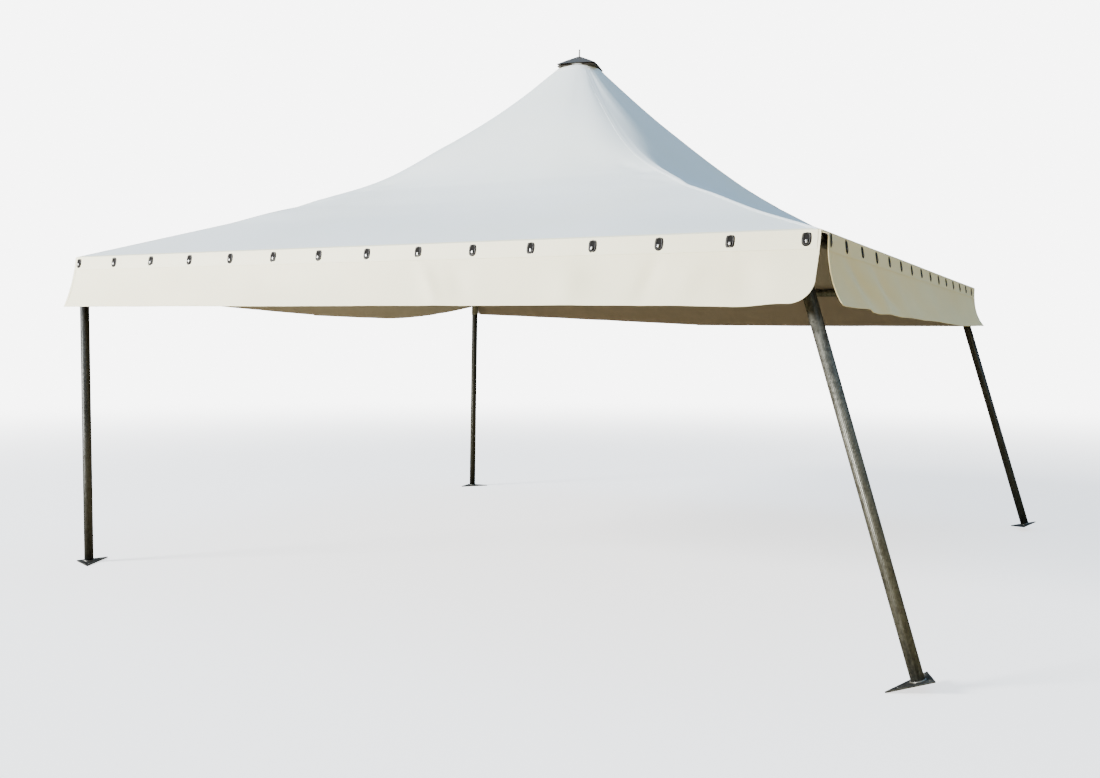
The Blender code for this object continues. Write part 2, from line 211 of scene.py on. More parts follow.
camera_data = bpy.data.cameras.new("camera")
camera_data.sensor_fit = "HORIZONTAL"
camera_data.sensor_width = SENSOR_WIDTH
camera_data.lens = SENSOR_WIDTH * FOCAL_PIXELS / IMAGE_WIDTH
camera = bpy.data.objects.new("camera", camera_data)
bpy.context.scene.collection.objects.link(camera)
right, up, ahead = camera_axes(CAMERA_YAW, CAMERA_PITCH, CAMERA_ROLL)
camera_turn = Matrix((right, up, -ahead)).transposed().to_4x4()
camera.matrix_world = TENT @ Matrix.Translation(CAMERA_PLACE) @ camera_turn
camera_data.shift_x = (IMAGE_WIDTH / 2 - LENS_MIDDLE[0]) / IMAGE_WIDTH
camera_data.shift_y = (LENS_MIDDLE[1] - IMAGE_HEIGHT / 2) / IMAGE_WIDTH
bpy.context.scene.camera = camera
print("lens", round(camera_data.lens, 2), "mm")

# %% [markdown]
# ## Floor and light
# The floor is plain and pale, and fades into the white behind it, like paper in a studio. The
# ground on which the real tent stood was warm and darker, and it tints the shaded cloth and the
# steel. A Light Path node tells the camera's own rays from all others. It shows the camera pale
# paper and a white background, while the light that reaches the tent comes from brown ground and
# a coloured sky. A broad light stands high on the front left, where the sun was, and a weak blue
# one above the tent, behind on the right.

# %% Helpers for nodes and materials
def add_node(tree, kind, inputs=None, **settings):
    """A shader node with its settings; each input is a value or another node's output."""
    node = tree.nodes.new("ShaderNode" + kind)
    for setting, value in settings.items():
        setattr(node, setting, value)
    for socket, value in (inputs or {}).items():
        if isinstance(value, bpy.types.NodeSocket):
            tree.links.new(value, node.inputs[socket])
        else:
            node.inputs[socket].default_value = value
    return node


def maths(tree, operation, *values):
    """A Math node; each value is a number or another node's output."""
    return add_node(tree, "Math", dict(enumerate(values)), operation=operation).outputs[0]


def camera_sees(tree, seen, met):
    """A shader that shows the camera one thing, while all other rays meet another."""
    rays = add_node(tree, "LightPath")
    choose = add_node(tree, "MixShader", {"Fac": rays.outputs["Is Camera Ray"],
                                          1: met.outputs[0], 2: seen.outputs[0]})
    return choose.outputs[0]


def new_material(name, values):
    """A material whose Principled shader has these values."""
    material = bpy.data.materials.new(name)
    material.use_nodes = True
    for socket, value in values.items():
        material.node_tree.nodes["Principled BSDF"].inputs[socket].default_value = value
    return material


def plain_material(name, colour, roughness, specular=0.5):
    return new_material(name, {"Base Color": (*colour, 1), "Roughness": roughness,
                               "Specular IOR Level": specular})


# %% Build the floor
FLOOR_SIZE = 120
PAPER, EARTH = (0.95, 0.95, 0.95), (0.52, 0.41, 0.22)
WHITE_STRENGTH = 7.0                       # how bright the camera sees the empty background
FADE_FROM, FADE_TO = 4.0, 26.0             # metres from the tent's middle
GLOW_NEAR = 0.24                           # share of the white in the floor under the tent

paper = plain_material("pale_floor", PAPER, 1.0, 0.0)
tree = paper.node_tree
glow = add_node(tree, "Emission", {"Strength": WHITE_STRENGTH})
place = add_node(tree, "TexCoord")
distance = add_node(tree, "VectorMath", {0: place.outputs["Object"]}, operation="LENGTH")
fade = add_node(tree, "MapRange", {"Value": distance.outputs["Value"], "From Min": FADE_FROM,
                                   "From Max": FADE_TO, "To Min": GLOW_NEAR},
                interpolation_type="SMOOTHERSTEP")
melt = add_node(tree, "MixShader", {"Fac": fade.outputs[0], 2: glow.outputs[0],
                                    1: tree.nodes["Principled BSDF"].outputs[0]})
earth = add_node(tree, "BsdfDiffuse", {"Color": (*EARTH, 1)})
tree.links.new(camera_sees(tree, melt, earth), tree.nodes["Material Output"].inputs["Surface"])

floor = add_shape("floor", bpy.ops.mesh.primitive_plane_add, size=FLOOR_SIZE, location=(0, 0, 0))
set_materials(floor, paper)
print("floor", FLOOR_SIZE, "m across")

# %% Hang the lights
SKY_STRENGTH = 0.85
# Colours of the light by height: where on the way from straight down to straight up, and colour
SKY = ((0.50, (0.98, 0.76, 0.36)), (0.68, (0.74, 0.62, 0.36)), (0.84, (0.42, 0.68, 1.0)))
BLUER_BEHIND = 0.24                        # behind the tent the sky is blue lower down


def area_light(name, place, target, size, watts, colour):
    data = bpy.data.lights.new(name, "AREA")
    data.shape = "DISK"
    data.size = size
    data.energy = watts
    data.color = colour
    light = bpy.data.objects.new(name, data)
    bpy.context.scene.collection.objects.link(light)
    light.location = place
    way = Vector(target) - Vector(place)
    light.rotation_euler = way.to_track_quat("-Z", "Y").to_euler()
    return light


area_light("sun_side", (-24, -28, 13.8), (0, 0, 1.8), 11, 50000, (1.0, 0.99, 0.99))
area_light("sky_side", (2.5, 2.5, 14), (0, 0, 2), 8, 370, (0.26, 0.60, 1.0))

world = bpy.data.worlds.new("studio")
bpy.context.scene.world = world
world.use_nodes = True
tree = world.node_tree
tree.nodes.clear()
seen = add_node(tree, "Background", {"Color": (1, 1, 1, 1), "Strength": WHITE_STRENGTH})
heading = add_node(tree, "TexCoord")
split = add_node(tree, "SeparateXYZ", {0: heading.outputs["Generated"]})
height = maths(tree, "MULTIPLY_ADD", split.outputs["Z"], 0.5, 0.5)
behind = maths(tree, "MAXIMUM", split.outputs["Y"], 0.0)
ramp = add_node(tree, "ValToRGB",
                {"Fac": maths(tree, "MULTIPLY_ADD", behind, BLUER_BEHIND, height)})
ramp.color_ramp.elements.new(SKY[2][0])
for stop, (position, colour) in zip(ramp.color_ramp.elements, SKY):
    stop.position = position
    stop.color = (*colour, 1)
lit = add_node(tree, "Background", {"Color": ramp.outputs["Color"], "Strength": SKY_STRENGTH})
add_node(tree, "OutputWorld", {"Surface": camera_sees(tree, seen, lit)})
print("sky colours at", [round(stop.position, 2) for stop in ramp.color_ramp.elements])

# %% [markdown]
# ## Shared effects
# Coated tent cloth shows a fine woven grid under its gloss, and broad faint stains where rain
# dries. Galvanised steel shows a crystal spangle and dull streaks. Each effect is one node group
# that several materials use with their own values.

# %% Node group for the woven grid
def new_group(name, inputs, outputs):
    group = bpy.data.node_groups.new(name, "ShaderNodeTree")
    for label, kind, value in inputs:
        socket = group.interface.new_socket(label, in_out="INPUT", socket_type=kind)
        if value is not None:
            socket.default_value = value
    for label, kind in outputs:
        group.interface.new_socket(label, in_out="OUTPUT", socket_type=kind)
    start = group.nodes.new("NodeGroupInput")
    end = group.nodes.new("NodeGroupOutput")
    return group, start, end


weave, start, end = new_group(
    "cloth_weave",
    [("Vector", "NodeSocketVector", None), ("Threads per metre", "NodeSocketFloat", 900.0)],
    [("Height", "NodeSocketFloat")])
split = add_node(weave, "SeparateXYZ", {0: start.outputs["Vector"]})
waves = []
for axis in ("X", "Y"):
    turns = maths(weave, "MULTIPLY", split.outputs[axis], start.outputs["Threads per metre"])
    waves.append(maths(weave, "SINE", maths(weave, "MULTIPLY", turns, 2 * math.pi)))
both = maths(weave, "MULTIPLY", *waves)
weave.links.new(maths(weave, "MULTIPLY_ADD", both, 0.5), end.inputs["Height"])

# %% Node group for stains that follow the rain
stains, start, end = new_group(
    "rain_stains",
    [("Vector", "NodeSocketVector", None), ("Scale", "NodeSocketFloat", 1.2),
     ("Clean", "NodeSocketColor", (1, 1, 1, 1)),
     ("Stained", "NodeSocketColor", (0.8, 0.8, 0.7, 1)), ("Amount", "NodeSocketFloat", 0.4)],
    [("Color", "NodeSocketColor")])
cloud = add_node(stains, "TexNoise", {"Vector": start.outputs["Vector"], "Detail": 6,
                                      "Scale": start.outputs["Scale"], "Roughness": 0.6})
edge = add_node(stains, "MapRange", {"Value": cloud.outputs["Fac"], "From Min": 0.42,
                                     "From Max": 0.72})
mask = maths(stains, "MULTIPLY", edge.outputs[0], start.outputs["Amount"])
mix = add_node(stains, "Mix", {"Factor": mask, "A": start.outputs["Clean"],
                               "B": start.outputs["Stained"]}, data_type="RGBA")
stains.links.new(mix.outputs["Result"], end.inputs["Color"])

# %% Node group for galvanised steel
zinc, start, end = new_group(
    "zinc_spangle",
    [("Vector", "NodeSocketVector", None), ("Spangle scale", "NodeSocketFloat", 90.0),
     ("Light", "NodeSocketColor", (0.5, 0.5, 0.5, 1)),
     ("Dark", "NodeSocketColor", (0.2, 0.2, 0.2, 1)), ("Streaks", "NodeSocketFloat", 0.6)],
    [("Color", "NodeSocketColor"), ("Roughness", "NodeSocketFloat"), ("Height", "NodeSocketFloat")])
cells = add_node(zinc, "TexVoronoi", {"Vector": start.outputs["Vector"],
                                      "Scale": start.outputs["Spangle scale"]})
tone = add_node(zinc, "SeparateColor", {"Color": cells.outputs["Color"]})
stretch = add_node(zinc, "Mapping", {"Vector": start.outputs["Vector"], "Scale": (40, 40, 2.5)})
runs = add_node(zinc, "TexNoise", {"Vector": stretch.outputs[0], "Scale": 1.0, "Detail": 5})
streak = maths(zinc, "MULTIPLY", runs.outputs["Fac"], start.outputs["Streaks"])
spangle = maths(zinc, "MULTIPLY", tone.outputs["Red"], 0.35)
blend = maths(zinc, "ADD", streak, spangle)
mix = add_node(zinc, "Mix", {"Factor": blend, "A": start.outputs["Dark"],
                             "B": start.outputs["Light"]}, data_type="RGBA")
zinc.links.new(mix.outputs["Result"], end.inputs["Color"])
zinc.links.new(maths(zinc, "MULTIPLY_ADD", blend, 0.3, 0.28), end.inputs["Roughness"])
zinc.links.new(blend, end.inputs["Height"])
print("shared effects:", [group.name for group in bpy.data.node_groups])

# %% [markdown]
# ## Cloth materials
# The roof is white coated polyester with a low gloss. The front and left valances are a little
# creamy. The right and rear ones carry painted shade: the same cloth is coloured yellower there.
# The inside of the cloth carries painted shade too and is coloured much darker, except on the left
# valance, whose lining carries painted light and is lighter. The weave reads the cloth's own UV
# map, in metres, so that it follows every fold.

# %% Make the cloth materials
def bump(material, height, strength, distance):
    """Let a height value tilt the light on a material's surface."""
    tree = material.node_tree
    bumps = add_node(tree, "Bump", {"Strength": strength, "Distance": distance, "Height": height})
    tree.links.new(bumps.outputs["Normal"], tree.nodes["Principled BSDF"].inputs["Normal"])


def cloth_material(name, clean, stained, amount, roughness):
    material = new_material(name, {"Roughness": roughness, "Sheen Weight": 0.08,
                                   "Specular IOR Level": 0.35})
    tree = material.node_tree
    place = add_node(tree, "TexCoord")
    patches = add_node(tree, "Group", {"Clean": (*clean, 1), "Stained": (*stained, 1),
                                       "Amount": amount, "Vector": place.outputs["Object"]},
                       node_tree=stains)
    tree.links.new(patches.outputs["Color"], tree.nodes["Principled BSDF"].inputs["Base Color"])
    grid = add_node(tree, "Group", {"Vector": place.outputs["UV"]}, node_tree=weave)
    bump(material, grid.outputs["Height"], 0.15, 0.0004)
    return material


# Painted shade: the right and rear valances and bands are the front's cloth coloured yellower for
# the warm shade on those sides.
valance_painted_shade = cloth_material("valance_painted_shade", (0.94, 0.82, 0.45), (0.88, 0.75, 0.40), 0.6, 0.6)
band_painted_shade = cloth_material("band_painted_shade", (0.94, 0.84, 0.49), (0.90, 0.79, 0.45), 0.4, 0.6)
roof_white = cloth_material("roof_white", (0.84, 0.90, 0.90), (0.81, 0.86, 0.80), 0.6, 0.36)
seam_white = cloth_material("seam_white", (0.86, 0.91, 0.91), (0.82, 0.87, 0.82), 0.5, 0.3)
valance_cream = cloth_material("valance_cream", (0.92, 0.89, 0.65), (0.89, 0.81, 0.58), 0.5, 0.5)
band_cream = cloth_material("band_cream", (0.92, 0.905, 0.68), (0.88, 0.83, 0.61), 0.4, 0.48)
# Painted shade: the linings are coloured dark for the shade inside the tent. Painted light: the
# left valance's lining is coloured lighter where sunlight glows through it.
lining_painted_shade = cloth_material("lining_painted_shade", (0.25, 0.225, 0.215), (0.21, 0.185, 0.175), 0.6, 0.7)
lining_painted_light = cloth_material("lining_painted_light", (0.46, 0.435, 0.42), (0.38, 0.355, 0.34),
                                  0.6, 0.7)
roof_lining_painted_shade = cloth_material("roof_lining_painted_shade", (0.235, 0.218, 0.205), (0.20, 0.18, 0.165), 0.6, 0.7)
# The right and rear sides take the cloths with painted shade.
VALANCE_CLOTHS = {"front": (valance_cream, band_cream), "right": (valance_painted_shade, band_painted_shade),
                  "rear": (valance_painted_shade, band_painted_shade), "left": (valance_cream, band_cream)}

# %% [markdown]
# ## Metal materials
# The tubes are hot-dip galvanised and weathered to a dark olive grey. Three of the legs carry
# painted shade: they are coloured darker than the fourth. The foot plates and the cap are darker,
# the cap's rim carries painted shade, and the eyelets are plated rings coloured nearly black, over
# discs of painted shadow.

# %% Make the metal materials
def zinc_material(name, light, dark, streaks, scale=90.0, metallic=0.85, rim=1.0):
    material = new_material(name, {"Metallic": metallic, "Specular Tint": (rim, rim, rim, 1)})
    tree = material.node_tree
    place = add_node(tree, "TexCoord")
    skin = add_node(tree, "Group", {"Light": (*light, 1), "Dark": (*dark, 1), "Streaks": streaks,
                                    "Spangle scale": scale, "Vector": place.outputs["Object"]},
                    node_tree=zinc)
    shader = tree.nodes["Principled BSDF"]
    tree.links.new(skin.outputs["Color"], shader.inputs["Base Color"])
    tree.links.new(skin.outputs["Roughness"], shader.inputs["Roughness"])
    bump(material, skin.outputs["Height"], 0.2, 0.0006)
    return material


tube_zinc = zinc_material("tube_zinc", (0.215, 0.218, 0.19), (0.028, 0.028, 0.024), 0.9, rim=0.12)
# Painted shade: three legs take darker copies of the tube steel for the shade they stand in.
zinc_painted_shade = zinc_material("zinc_painted_shade", (0.11, 0.115, 0.112), (0.016, 0.017, 0.016), 0.9, rim=0.12)
zinc_painted_deep_shade = zinc_material("zinc_painted_deep_shade", (0.055, 0.056, 0.045), (0.012, 0.012, 0.010), 0.9, rim=0.12)
plate_steel = zinc_material("plate_steel", (0.12, 0.124, 0.116), (0.025, 0.025, 0.023), 0.9,
                            rim=0.3)
cap_steel = zinc_material("cap_steel", (0.098, 0.088, 0.074), (0.024, 0.021, 0.018), 0.7, 60.0,
                          0.1, 0.15)
# Painted shade: the steep faces of the cap's rim are coloured near-black for the shade under the
# cap.
cap_rim_painted_shade = plain_material("cap_rim_painted_shade", (0.02, 0.021, 0.021), 0.5)
spike_steel = zinc_material("spike_steel", (0.26, 0.26, 0.26), (0.12, 0.12, 0.12), 0.5, 200.0,
                            rim=0.3)
weld_steel = zinc_material("weld_steel", (0.30, 0.30, 0.27), (0.10, 0.10, 0.09), 0.8, 300.0)
nickel = zinc_material("nickel", (0.07, 0.07, 0.07), (0.018, 0.018, 0.018), 0.5, 400.0, 0.5, 0.08)
button_metal = zinc_material("button_metal", (0.42, 0.42, 0.41), (0.20, 0.20, 0.20), 0.5, 400.0,
                             0.9, 0.3)
# Painted shadow: a near-black disc behind each eyelet stands for the shade in its hole and round
# its ring.
eyelet_painted_shadow = plain_material("eyelet_painted_shadow", (0.012, 0.012, 0.012), 0.8, 0.1)
print(len(bpy.data.materials), "materials")

# %% [markdown]
# ## The roof
# On the real tent four gores of cloth are welded along the hips into one canopy and stretched
# from the eaves to the cap. A flat grid is wrapped round the mast, and every vertex is then
# lifted to the height that the stretched cloth has there. Near the eaves the cloth lies on the
# hip rafters in four flat planes. Higher up it leaves them, its section grows rounder, and it is
# drawn into a soft cone that ends square under the cap.

# %% Height and section of the roof
SLOPE = 0.380
PEAK_START, PEAK_KINK, PEAK_POWER = 1.467, 0.506, 3.23
CROWN = 0.075
CROWN_Z = 3.6225                           # top of the cloth under the cap
ROUND_UNTIL, ROUND_FIRST = 1.263, 0.82
UNDER_CAP = 0.125                          # half the width of the cloth where the cap clamps it
SAG = 0.033


def peak_shape(t):
    a = max(0.0, 1 - t / PEAK_START)
    return PEAK_KINK * a + (1 - PEAK_KINK) * a ** PEAK_POWER


def hip_height(t):
    peak = CROWN_Z - EAVE_Z - SLOPE * (HALF - CROWN)
    return EAVE_Z + SLOPE * (HALF - t) + peak * peak_shape(t) / peak_shape(CROWN)


# Where the cloth lies off the other hips' line: from, to (distances out) and height, for each
# corner in turn from the front right
HIP_SHIFTS = (((1.7, 2.45, -0.010), (0.55, 1.45, -0.032)),
              ((0.75, 2.5, 0.026), (0.3, 1.1, 0.014)), (),
              ((0.72, 1.36, -0.035), (1.3, 1.8, 0.014)))
SWELL = (0.2, 0.75, 0.006)                 # the cone swells a little all round


def bump_between(t, low, high, height):
    return height * math.sin(math.pi * (t - low) / (high - low)) ** 1.5 if low < t < high else 0.0


def hip_shift(corner, t):
    return sum(bump_between(t, *shift) for shift in HIP_SHIFTS[corner])


def cloth_height(t, v):
    """Height between the hips, where the kink above the rafters is softer."""
    spread = 0.25 * smooth_step((t - 0.9) / 0.4) * (1 - abs(v) ** 3)
    return (hip_height(t - spread) + 2 * hip_height(t) + hip_height(t + spread)) / 4


def bulge_of(t, v):
    """How far the section stands outside a square; it is a superellipse that grows squarer."""
    roundness = ROUND_FIRST * (1 - smooth_step((t - CROWN) / (ROUND_UNTIL - CROWN)))
    if roundness < 0.01:
        return 1.0
    power = 2 / roundness
    flare = UNDER_CAP / (CROWN * 2 ** (ROUND_FIRST / 2)) - 1
    wider = 1 + flare * math.exp(-(t - CROWN) / 0.15)
    return (2 / (1 + abs(v) ** power)) ** (1 / power) * wider


# Pulls in the cloth, each beside a hip: angle off the hip, width, height (below 0 for a valley)
CREASES = ((0.10, 0.045, 0.0025), (0.24, 0.06, 0.002), (0.36, 0.06, 0.002))
LONG_FOLDS = ((0.0, 0.10, -0.004), (0.17, 0.07, 0.003), (0.33, 0.10, -0.003))
# Small puckers where the cloth leaves the rafter: distance out, metres off the hip, depth
PUCKERS = ((1.10, 0.10, 0.010), (1.20, 0.065, 0.008), (1.30, 0.10, 0.006), (1.37, 0.05, 0.006))


def crease_height(t, v, quarter):
    """Creases that fan out from the cap, folds along the hips and puckers at their end."""
    near_cap = smooth_step((t - CROWN) / 0.12) * math.exp(-((t - 0.30) / 0.42) ** 2)
    on_cone = smooth_step((t - CROWN) / 0.2) * (1 - smooth_step((t - 0.85) / 0.5))
    angle = math.atan(v)
    total = 0.0
    for hip in (-1, 1):
        off = math.pi / 4 - angle * hip
        for place, width, depth in CREASES:
            target = place * (1.0 + 0.12 * math.sin(3.1 * quarter + 7 * place))
            total += near_cap * depth * math.exp(-((off - target) / width) ** 2)
        for place, width, depth in LONG_FOLDS:
            total += on_cone * depth * math.exp(-((off - place) / width) ** 2)
        for out, aside, depth in PUCKERS:
            across = (t * off - aside) / 0.022
            along = (t - out + 0.6 * (t * off - aside)) / 0.035
            total -= depth * math.exp(-across * across - along * along)
    return total


def slow_waves(x, y, t):
    """Shallow swells of the stretched cloth between the crown and the eaves."""
    fade = smooth_step((t - 0.25) / 0.6) * smooth_step((HALF - t) / 0.5)
    wave = math.sin(2.3 * x + 0.9 * y + 0.4) * math.cos(1.7 * y - 0.6 * x + 1.1)
    fine = math.sin(5.1 * x - 3.3 * y) * math.cos(4.3 * y + 1.9 * x)
    return fade * (0.006 * wave + 0.0015 * fine)


def roof_point(t, v, quarter=0):
    """Top of the cloth on the front side, before it is turned to its own side."""
    bulge = bulge_of(t, v)
    a = (t - CROWN) / (HALF - CROWN)
    sag = SAG * 16 * a * a * (1 - a) * (1 - a) * (1 - v * v)
    x, y = v * t * bulge, -t * bulge
    on_face = 1 - abs(v) ** 6
    plan = Matrix.Rotation(quarter * QUARTER, 3, "Z") @ Vector((x, y, 0))
    waves = slow_waves(plan.x, plan.y, t) * on_face
    hip = quarter if v > 0 else (quarter - 1) % 4
    shift = hip_shift(hip, t) * smooth_step((abs(v) - 0.3) / 0.6) + bump_between(t, *SWELL)
    return Vector((x, y, cloth_height(t, v) - sag + waves + shift + crease_height(t, v, quarter)))


# %% Make a grid and move its vertices
def grid_piece(name, across, along, place, width, length):
    """A grid whose vertices go to place(u, w), with a UV map in metres."""
    item = add_shape(name, bpy.ops.mesh.primitive_grid_add, x_subdivisions=across,
                     y_subdivisions=along, size=2)
    item.data.name = name
    for loop in item.data.uv_layers.active.data:
        loop.uv = (loop.uv[0] * width, loop.uv[1] * length)
    for vertex in item.data.vertices:
        vertex.co = place((vertex.co.x + 1) / 2, (vertex.co.y + 1) / 2)
    item.data.update()
    return item


def sew(item, way, cloths, thickness, degrees):
    """Face a sheet one way and give it its cloth, its lining if it has one, and its thickness."""
    if sum(face.normal.dot(way) for face in item.data.polygons) < 0:
        item.data.flip_normals()
    set_materials(item, *cloths)
    modifier = item.modifiers.new("thickness", "SOLIDIFY")
    modifier.thickness = thickness
    modifier.offset = -1.0
    modifier.material_offset = len(cloths) - 1
    modifier.material_offset_rim = 0
    apply_modifiers(item)
    shade(item, degrees)


def sheet_area(item):
    return sum(face.area for face in item.data.polygons)


# %% Build the roof canopy
ROOF_COLUMNS, ROOF_ROWS = 56, 96           # columns are counted for each side
ROOF_CLOTH = 0.0016
UP = Vector((0, 0, 1))


def quarter_of(u):
    """The side that a share of the way round the roof falls on, and the way along that side."""
    quarter = min(int(u * 4), 3)
    part = u * 4 - quarter
    return ((quarter + 1) % 4, 0.0) if part > 0.99999 else (quarter, part)


def roof_place(u, w):
    quarter, part = quarter_of(u)
    v = math.sin((2 * part - 1) * math.pi / 2)
    t = CROWN + (HALF - CROWN) * w ** 1.35
    return about_mast(roof_point(t, v, quarter), quarter)


steps = [roof_point(CROWN + (HALF - CROWN) * i / 50, 0) for i in range(51)]
slant = sum((after - before).length for before, after in zip(steps, steps[1:]))
canopy = grid_piece("roof_canopy", 4 * ROOF_COLUMNS, ROOF_ROWS, roof_place, 8 * HALF, slant)
in_edit(canopy, (bpy.ops.mesh.remove_doubles, {"threshold": 0.0004}),
        (bpy.ops.mesh.normals_make_consistent, {"inside": False}))
# The roof's lining carries painted shade.
sew(canopy, UP, (roof_white, roof_lining_painted_shade), ROOF_CLOTH, 60)
settle(canopy, "roof_fabric", "front_roof_gore", "right_roof_gore", "rear_roof_gore",
       "left_roof_gore")

# %% [markdown]
# ## Hip seams
# The gores overlap along each hip in a welded strip, which shows as a thin ridge down to the
# corner. Each strip is a narrow sheet bent over the ridge, a little proud of the roof.

# %% Lay a welded strip along each hip
STRIP_WIDE, STRIP_NARROW = 0.020, 0.005    # how far it lies on one gore and on the next
STRIP_ASIDE = 0.035                        # how far beside the hip it runs on the cone
STRIP_LIFT, STRIP_CLOTH = 0.0006, 0.0010
STRIP_RIDGE = 0.0025                       # the doubled cloth stands up along the weld
STRIP_START, STRIP_END = 0.13, HALF - 0.004
STRIP_ROWS = 110


def strip_place(quarter):
    def place(u, w):
        t = STRIP_START + (STRIP_END - STRIP_START) * w
        across = -STRIP_WIDE + (STRIP_WIDE + STRIP_NARROW) * u
        side = across - bump_between(t, 0.15, 1.5, STRIP_ASIDE)
        v = 1 - min(0.9, abs(side) * math.sqrt(2) / t)
        owner, hip = (quarter, 1) if side <= 0 else ((quarter + 1) % 4, -1)
        point = about_mast(roof_point(t, hip * v, owner), owner)
        off_weld = (across + 0.4 * STRIP_WIDE) / (0.5 * STRIP_WIDE)
        ridge = STRIP_RIDGE * max(0.0, 1 - off_weld ** 2) ** 2 * smooth_step((t - 0.8) / 0.6)
        return point + leaned((0, 0, STRIP_LIFT + STRIP_CLOTH + ridge))
    return place


for quarter, corner in enumerate(("front_right", "rear_right", "rear_left", "front_left")):
    strip = grid_piece(f"{corner}_hip_seam", 12, STRIP_ROWS, strip_place(quarter),
                       STRIP_WIDE + STRIP_NARROW, STRIP_END - STRIP_START)
    sew(strip, UP, (seam_white,), STRIP_CLOTH, 60)
    settle(strip, "roof_fabric")

# %% [markdown]
# ## Valances
# A valance is one long strip of cloth that hangs from the edge of the roof. It stands out a
# little toward its hem, is cut round or pointed at its ends and has soft folds that start at
# the eyelets. One function gives the place of any point of the cloth, so that the hem, the band
# and the eyelets can lie on the same surface.

# %% Shape of a hanging valance
CUT = math.hypot(DROP, FLARE)              # length of the cloth from its top edge to its hem
TOP_OUT = 0.0022                           # the cloth hangs this far outside the roof's edge
ROLL = 0.006                               # radius of the rolled edge above it
EYELET_COUNT, EYELET_DOWN = 15, 0.041
EYELET_PITCH = {"front": 0.3497, "right": 0.3322, "rear": 0.3497, "left": 0.3497}
EYELET_SHIFT = {"front": -0.0084, "right": -0.070, "rear": 0.0, "left": 0.0}
# How much shorter each cloth is, then for its left and right end as seen from outside: radius of
# the corner, how far the hem rises there, over what length and how sharply, and how far it lifts
# just before the corner
HEMS = {
    "front": (0.0, (0.0, 0.0, 1.0, 1.0, 0.0), (0.11, -0.015, 0.9, 1.6, 0.020)),
    "right": (0.004, (0.014, -0.003, 0.6, 1.0, 0.0), (0.0, 0.031, 1.5, 1.5, 0.0)),
    "rear": (0.009, (0.03, 0.010, 1.5, 1.0, 0.0), (0.07, 0.105, 2.6, 1.0, 0.0)),
    "left": (0.020, (0.03, 0.173, 1.5, 1.68, 0.0), (0.04, 0.110, 3.0, 1.6, 0.0)),
}
HEM_STEP = {"right": (-1.92, 0.05, 0.013)}  # a tuck near one end: place, width, how much longer
# How strongly the lower corners kick outward, left and right end of each side
KICKS = {"front": (0.0, 0.0), "right": (-0.026, 0.004), "rear": (0.0, 0.0), "left": (0.0, 0.01)}
# How much later each end turns outward, which makes it hollow, and how far it stands off the edge
HOLLOWS = {"front": (0.0, 0.0), "right": (1.3, 1.3), "rear": (0.6, 0.6), "left": (0.6, 0.0)}
OFF_EDGE = {"front": (0.0, 0.0), "right": (0.030, 0.0), "rear": (0.0, 0.004), "left": (0.004, 0.0)}
# Soft folds: place along the side, lean of the fold, half width, height; below 0 is a hollow
FOLDS = {
    "front": ((-1.55, 0.1, 0.10, 0.004), (-0.75, -0.2, 0.09, -0.004), (0.42, 0.55, 0.045, 0.008),
              (0.62, 0.35, 0.07, -0.006), (1.28, 0.05, 0.10, 0.012), (1.72, -0.25, 0.05, -0.008),
              (1.92, -0.30, 0.07, 0.006), (2.18, 0.2, 0.09, -0.008)),
    "right": ((-2.15, 0.9, 0.09, 0.008), (-1.92, 1.3, 0.12, -0.018), (-1.62, 0.8, 0.10, 0.010),
              (-1.36, 1.4, 0.13, -0.014), (-0.98, 0.7, 0.13, 0.009), (-0.5, 0.3, 0.16, -0.010),
              (0.1, 0.1, 0.2, 0.008), (1.2, -0.1, 0.2, -0.008)),
    "rear": ((-1.7, 0.3, 0.08, 0.008), (-0.4, -0.2, 0.10, -0.008), (0.9, 0.4, 0.07, 0.009),
             (1.8, -0.5, 0.06, -0.008)),
    "left": ((-1.9, -0.5, 0.07, 0.009), (-0.7, 0.2, 0.11, -0.008), (0.6, 0.4, 0.07, 0.008),
             (1.6, -0.3, 0.08, -0.008)),
}


def hem_depth(side, s):
    """Length of the cloth at the place s along the side."""
    shorter = HEMS[side][0]
    radius, rise, length, power, lift = HEMS[side][1 if s < 0 else 2]
    inward = HALF - abs(s)
    depth = CUT - shorter - lift * smooth_step((0.36 - inward) / 0.24)
    if side in HEM_STEP:
        place, width, height = HEM_STEP[side]
        depth += height * smooth_step((s - place) / width)
    part = min(1.0, max(0.0, (inward - radius) / (length - radius)))
    depth -= rise * (1 - part) ** power
    if radius > 0 and inward < radius:
        depth -= radius - math.sqrt(max(0.0, radius * radius - (radius - inward) ** 2))
    return depth


def fold(side, s, h):
    """How far the soft folds stand out at a point of the cloth, the same on every run."""
    phase = SIDES[side] * 1.7
    out = 0.0035 * math.sin(3.1 * s + phase) + 0.002 * math.sin(5.3 * s + 1.3 + phase)
    out += 0.0015 * math.sin(11.0 * s + 2.1 * math.sin(1.3 * s + phase))
    for place, lean, width, height in FOLDS[side]:
        out += height * math.exp(-((s - place - lean * (h - CUT / 2)) / width) ** 2)
    return out


def eyelet_creases(side, s, h):
    """Small creases that hang from each eyelet and die out below it."""
    number = (s - EYELET_SHIFT[side]) / EYELET_PITCH[side]
    aside = (number - round(number)) * EYELET_PITCH[side]
    if abs(round(number)) > (EYELET_COUNT - 1) // 2:
        return 0.0
    drawn = 0.5 + 0.5 * math.sin(2.3 * round(number) + SIDES[side])
    below = h - EYELET_DOWN
    hang = smooth_step((below - 0.01) / 0.03) * math.exp(-(below / 0.10) ** 2)
    slant = aside - 0.5 * (drawn - 0.5) * below
    ridge = 0.003 * drawn * math.exp(-(slant / 0.02) ** 2)
    return hang * (ridge - 0.0015 * math.exp(-(slant / 0.06) ** 2))


